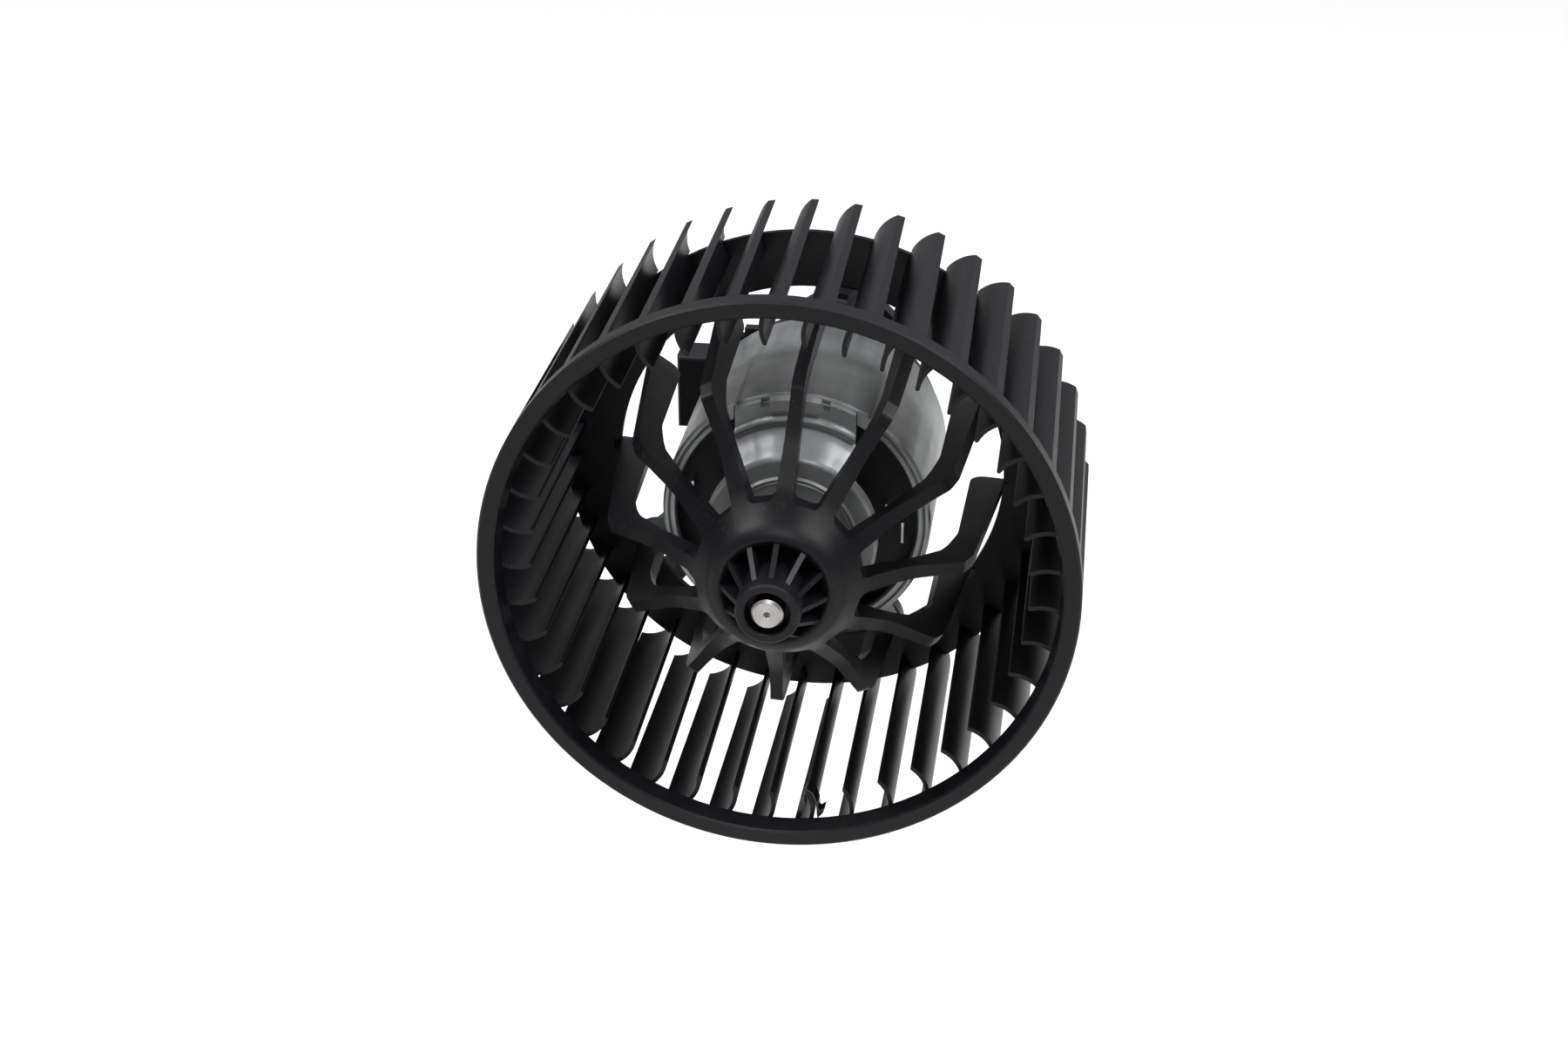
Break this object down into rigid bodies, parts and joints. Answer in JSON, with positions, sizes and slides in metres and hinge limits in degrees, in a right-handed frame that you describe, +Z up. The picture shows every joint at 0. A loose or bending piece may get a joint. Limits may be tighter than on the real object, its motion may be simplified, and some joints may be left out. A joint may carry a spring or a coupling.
{
  "type": "blower motor wheel",
  "caption": "Forward-curved centrifugal fan wheel on spokes, pressed on the shaft of a short brushed DC motor set inside it, with an eared rear holder and plug socket.",
  "frame": {"origin": "on the motor's axis, at the root of the rear spigot, in the plane of the holder's rear mounting face", "axes": "+Y along the motor's axis, out of the mounting face; the wheel's inlet faces -Y; +Z up as the motor is held"},
  "size_m": [0.15, 0.1204, 0.15],
  "materials": {
    "wheel_plastic": "fine matt moulded",
    "holder_plastic": "matt moulded",
    "card_plastic": "matt moulded",
    "insulation": "satin phenolic",
    "can_steel": "dull zinc-plated, drawn",
    "bracket_steel": "bright zinc-plated, pressed",
    "shaft_steel": "ground",
    "spring_steel": "blued spring steel",
    "screw_steel": "zinc-plated",
    "core_iron": "laminated",
    "enamelled_copper": "enamelled wire",
    "bare_copper": "turned",
    "bearing_bronze": "sintered, oil-soaked",
    "ferrite": "sintered ferrite",
    "box_brass": "pressed",
    "tinned_brass": "tinned",
    "carbon": "pressed carbon",
    "rubber": "moulded"
  },
  "bodies": {
    "motor": {"motor_can": "can_steel", "front_bracket": "bracket_steel", "crimp_tabs": "bracket_steel", "front_bearing": "bearing_bronze", "rear_bearing": "bearing_bronze", "bearing_retainer": "spring_steel", "magnets": "ferrite", "magnet_springs": "spring_steel", "brush_card": "card_plastic", "brush_boxes": "box_brass", "brush_spring_top": "spring_steel", "brush_spring_bottom": "spring_steel", "brush_terminals": "tinned_brass", "holder_plate": "holder_plastic", "holder_ears": "holder_plastic", "holder_screws": "screw_steel", "fixing_bushes": "rubber", "snap_arm": "holder_plastic", "connector_shell": "holder_plastic", "connector_pins": "tinned_brass"},
    "wheel": {"inlet_ring": "wheel_plastic", "fan_blades": "wheel_plastic", "back_plate": "wheel_plastic", "spoke_arms": "wheel_plastic", "spoke_fins": "wheel_plastic", "hub": "wheel_plastic", "hub_ribs": "wheel_plastic", "balance_clips": "spring_steel", "shaft": "shaft_steel", "armature_core": "core_iron", "windings": "enamelled_copper", "armature_insulators": "insulation", "commutator": "bare_copper", "commutator_sleeve": "insulation", "thrust_washers": "spring_steel"},
    "brush_top": {"brush_top": "carbon"},
    "brush_bottom": {"brush_bottom": "carbon"}
  },
  "joints": [
    {"name": "wheel_spin", "type": "hinge", "parent": "motor", "child": "wheel", "pos_m": [0, 0, 0], "axis": [0, 1, 0], "continuous": true},
    {"name": "brush_top_slide", "type": "slide", "parent": "motor", "child": "brush_top", "axis": [0, 0, 1], "range_m": [0, 0.002], "stiffness_N_per_m": 120, "springref_m": -0.006, "deforming": ["brush_spring_top"]},
    {"name": "brush_bottom_slide", "type": "slide", "parent": "motor", "child": "brush_bottom", "axis": [0, 0, -1], "range_m": [0, 0.002], "stiffness_N_per_m": 120, "springref_m": -0.006, "deforming": ["brush_spring_bottom"]}
  ]
}
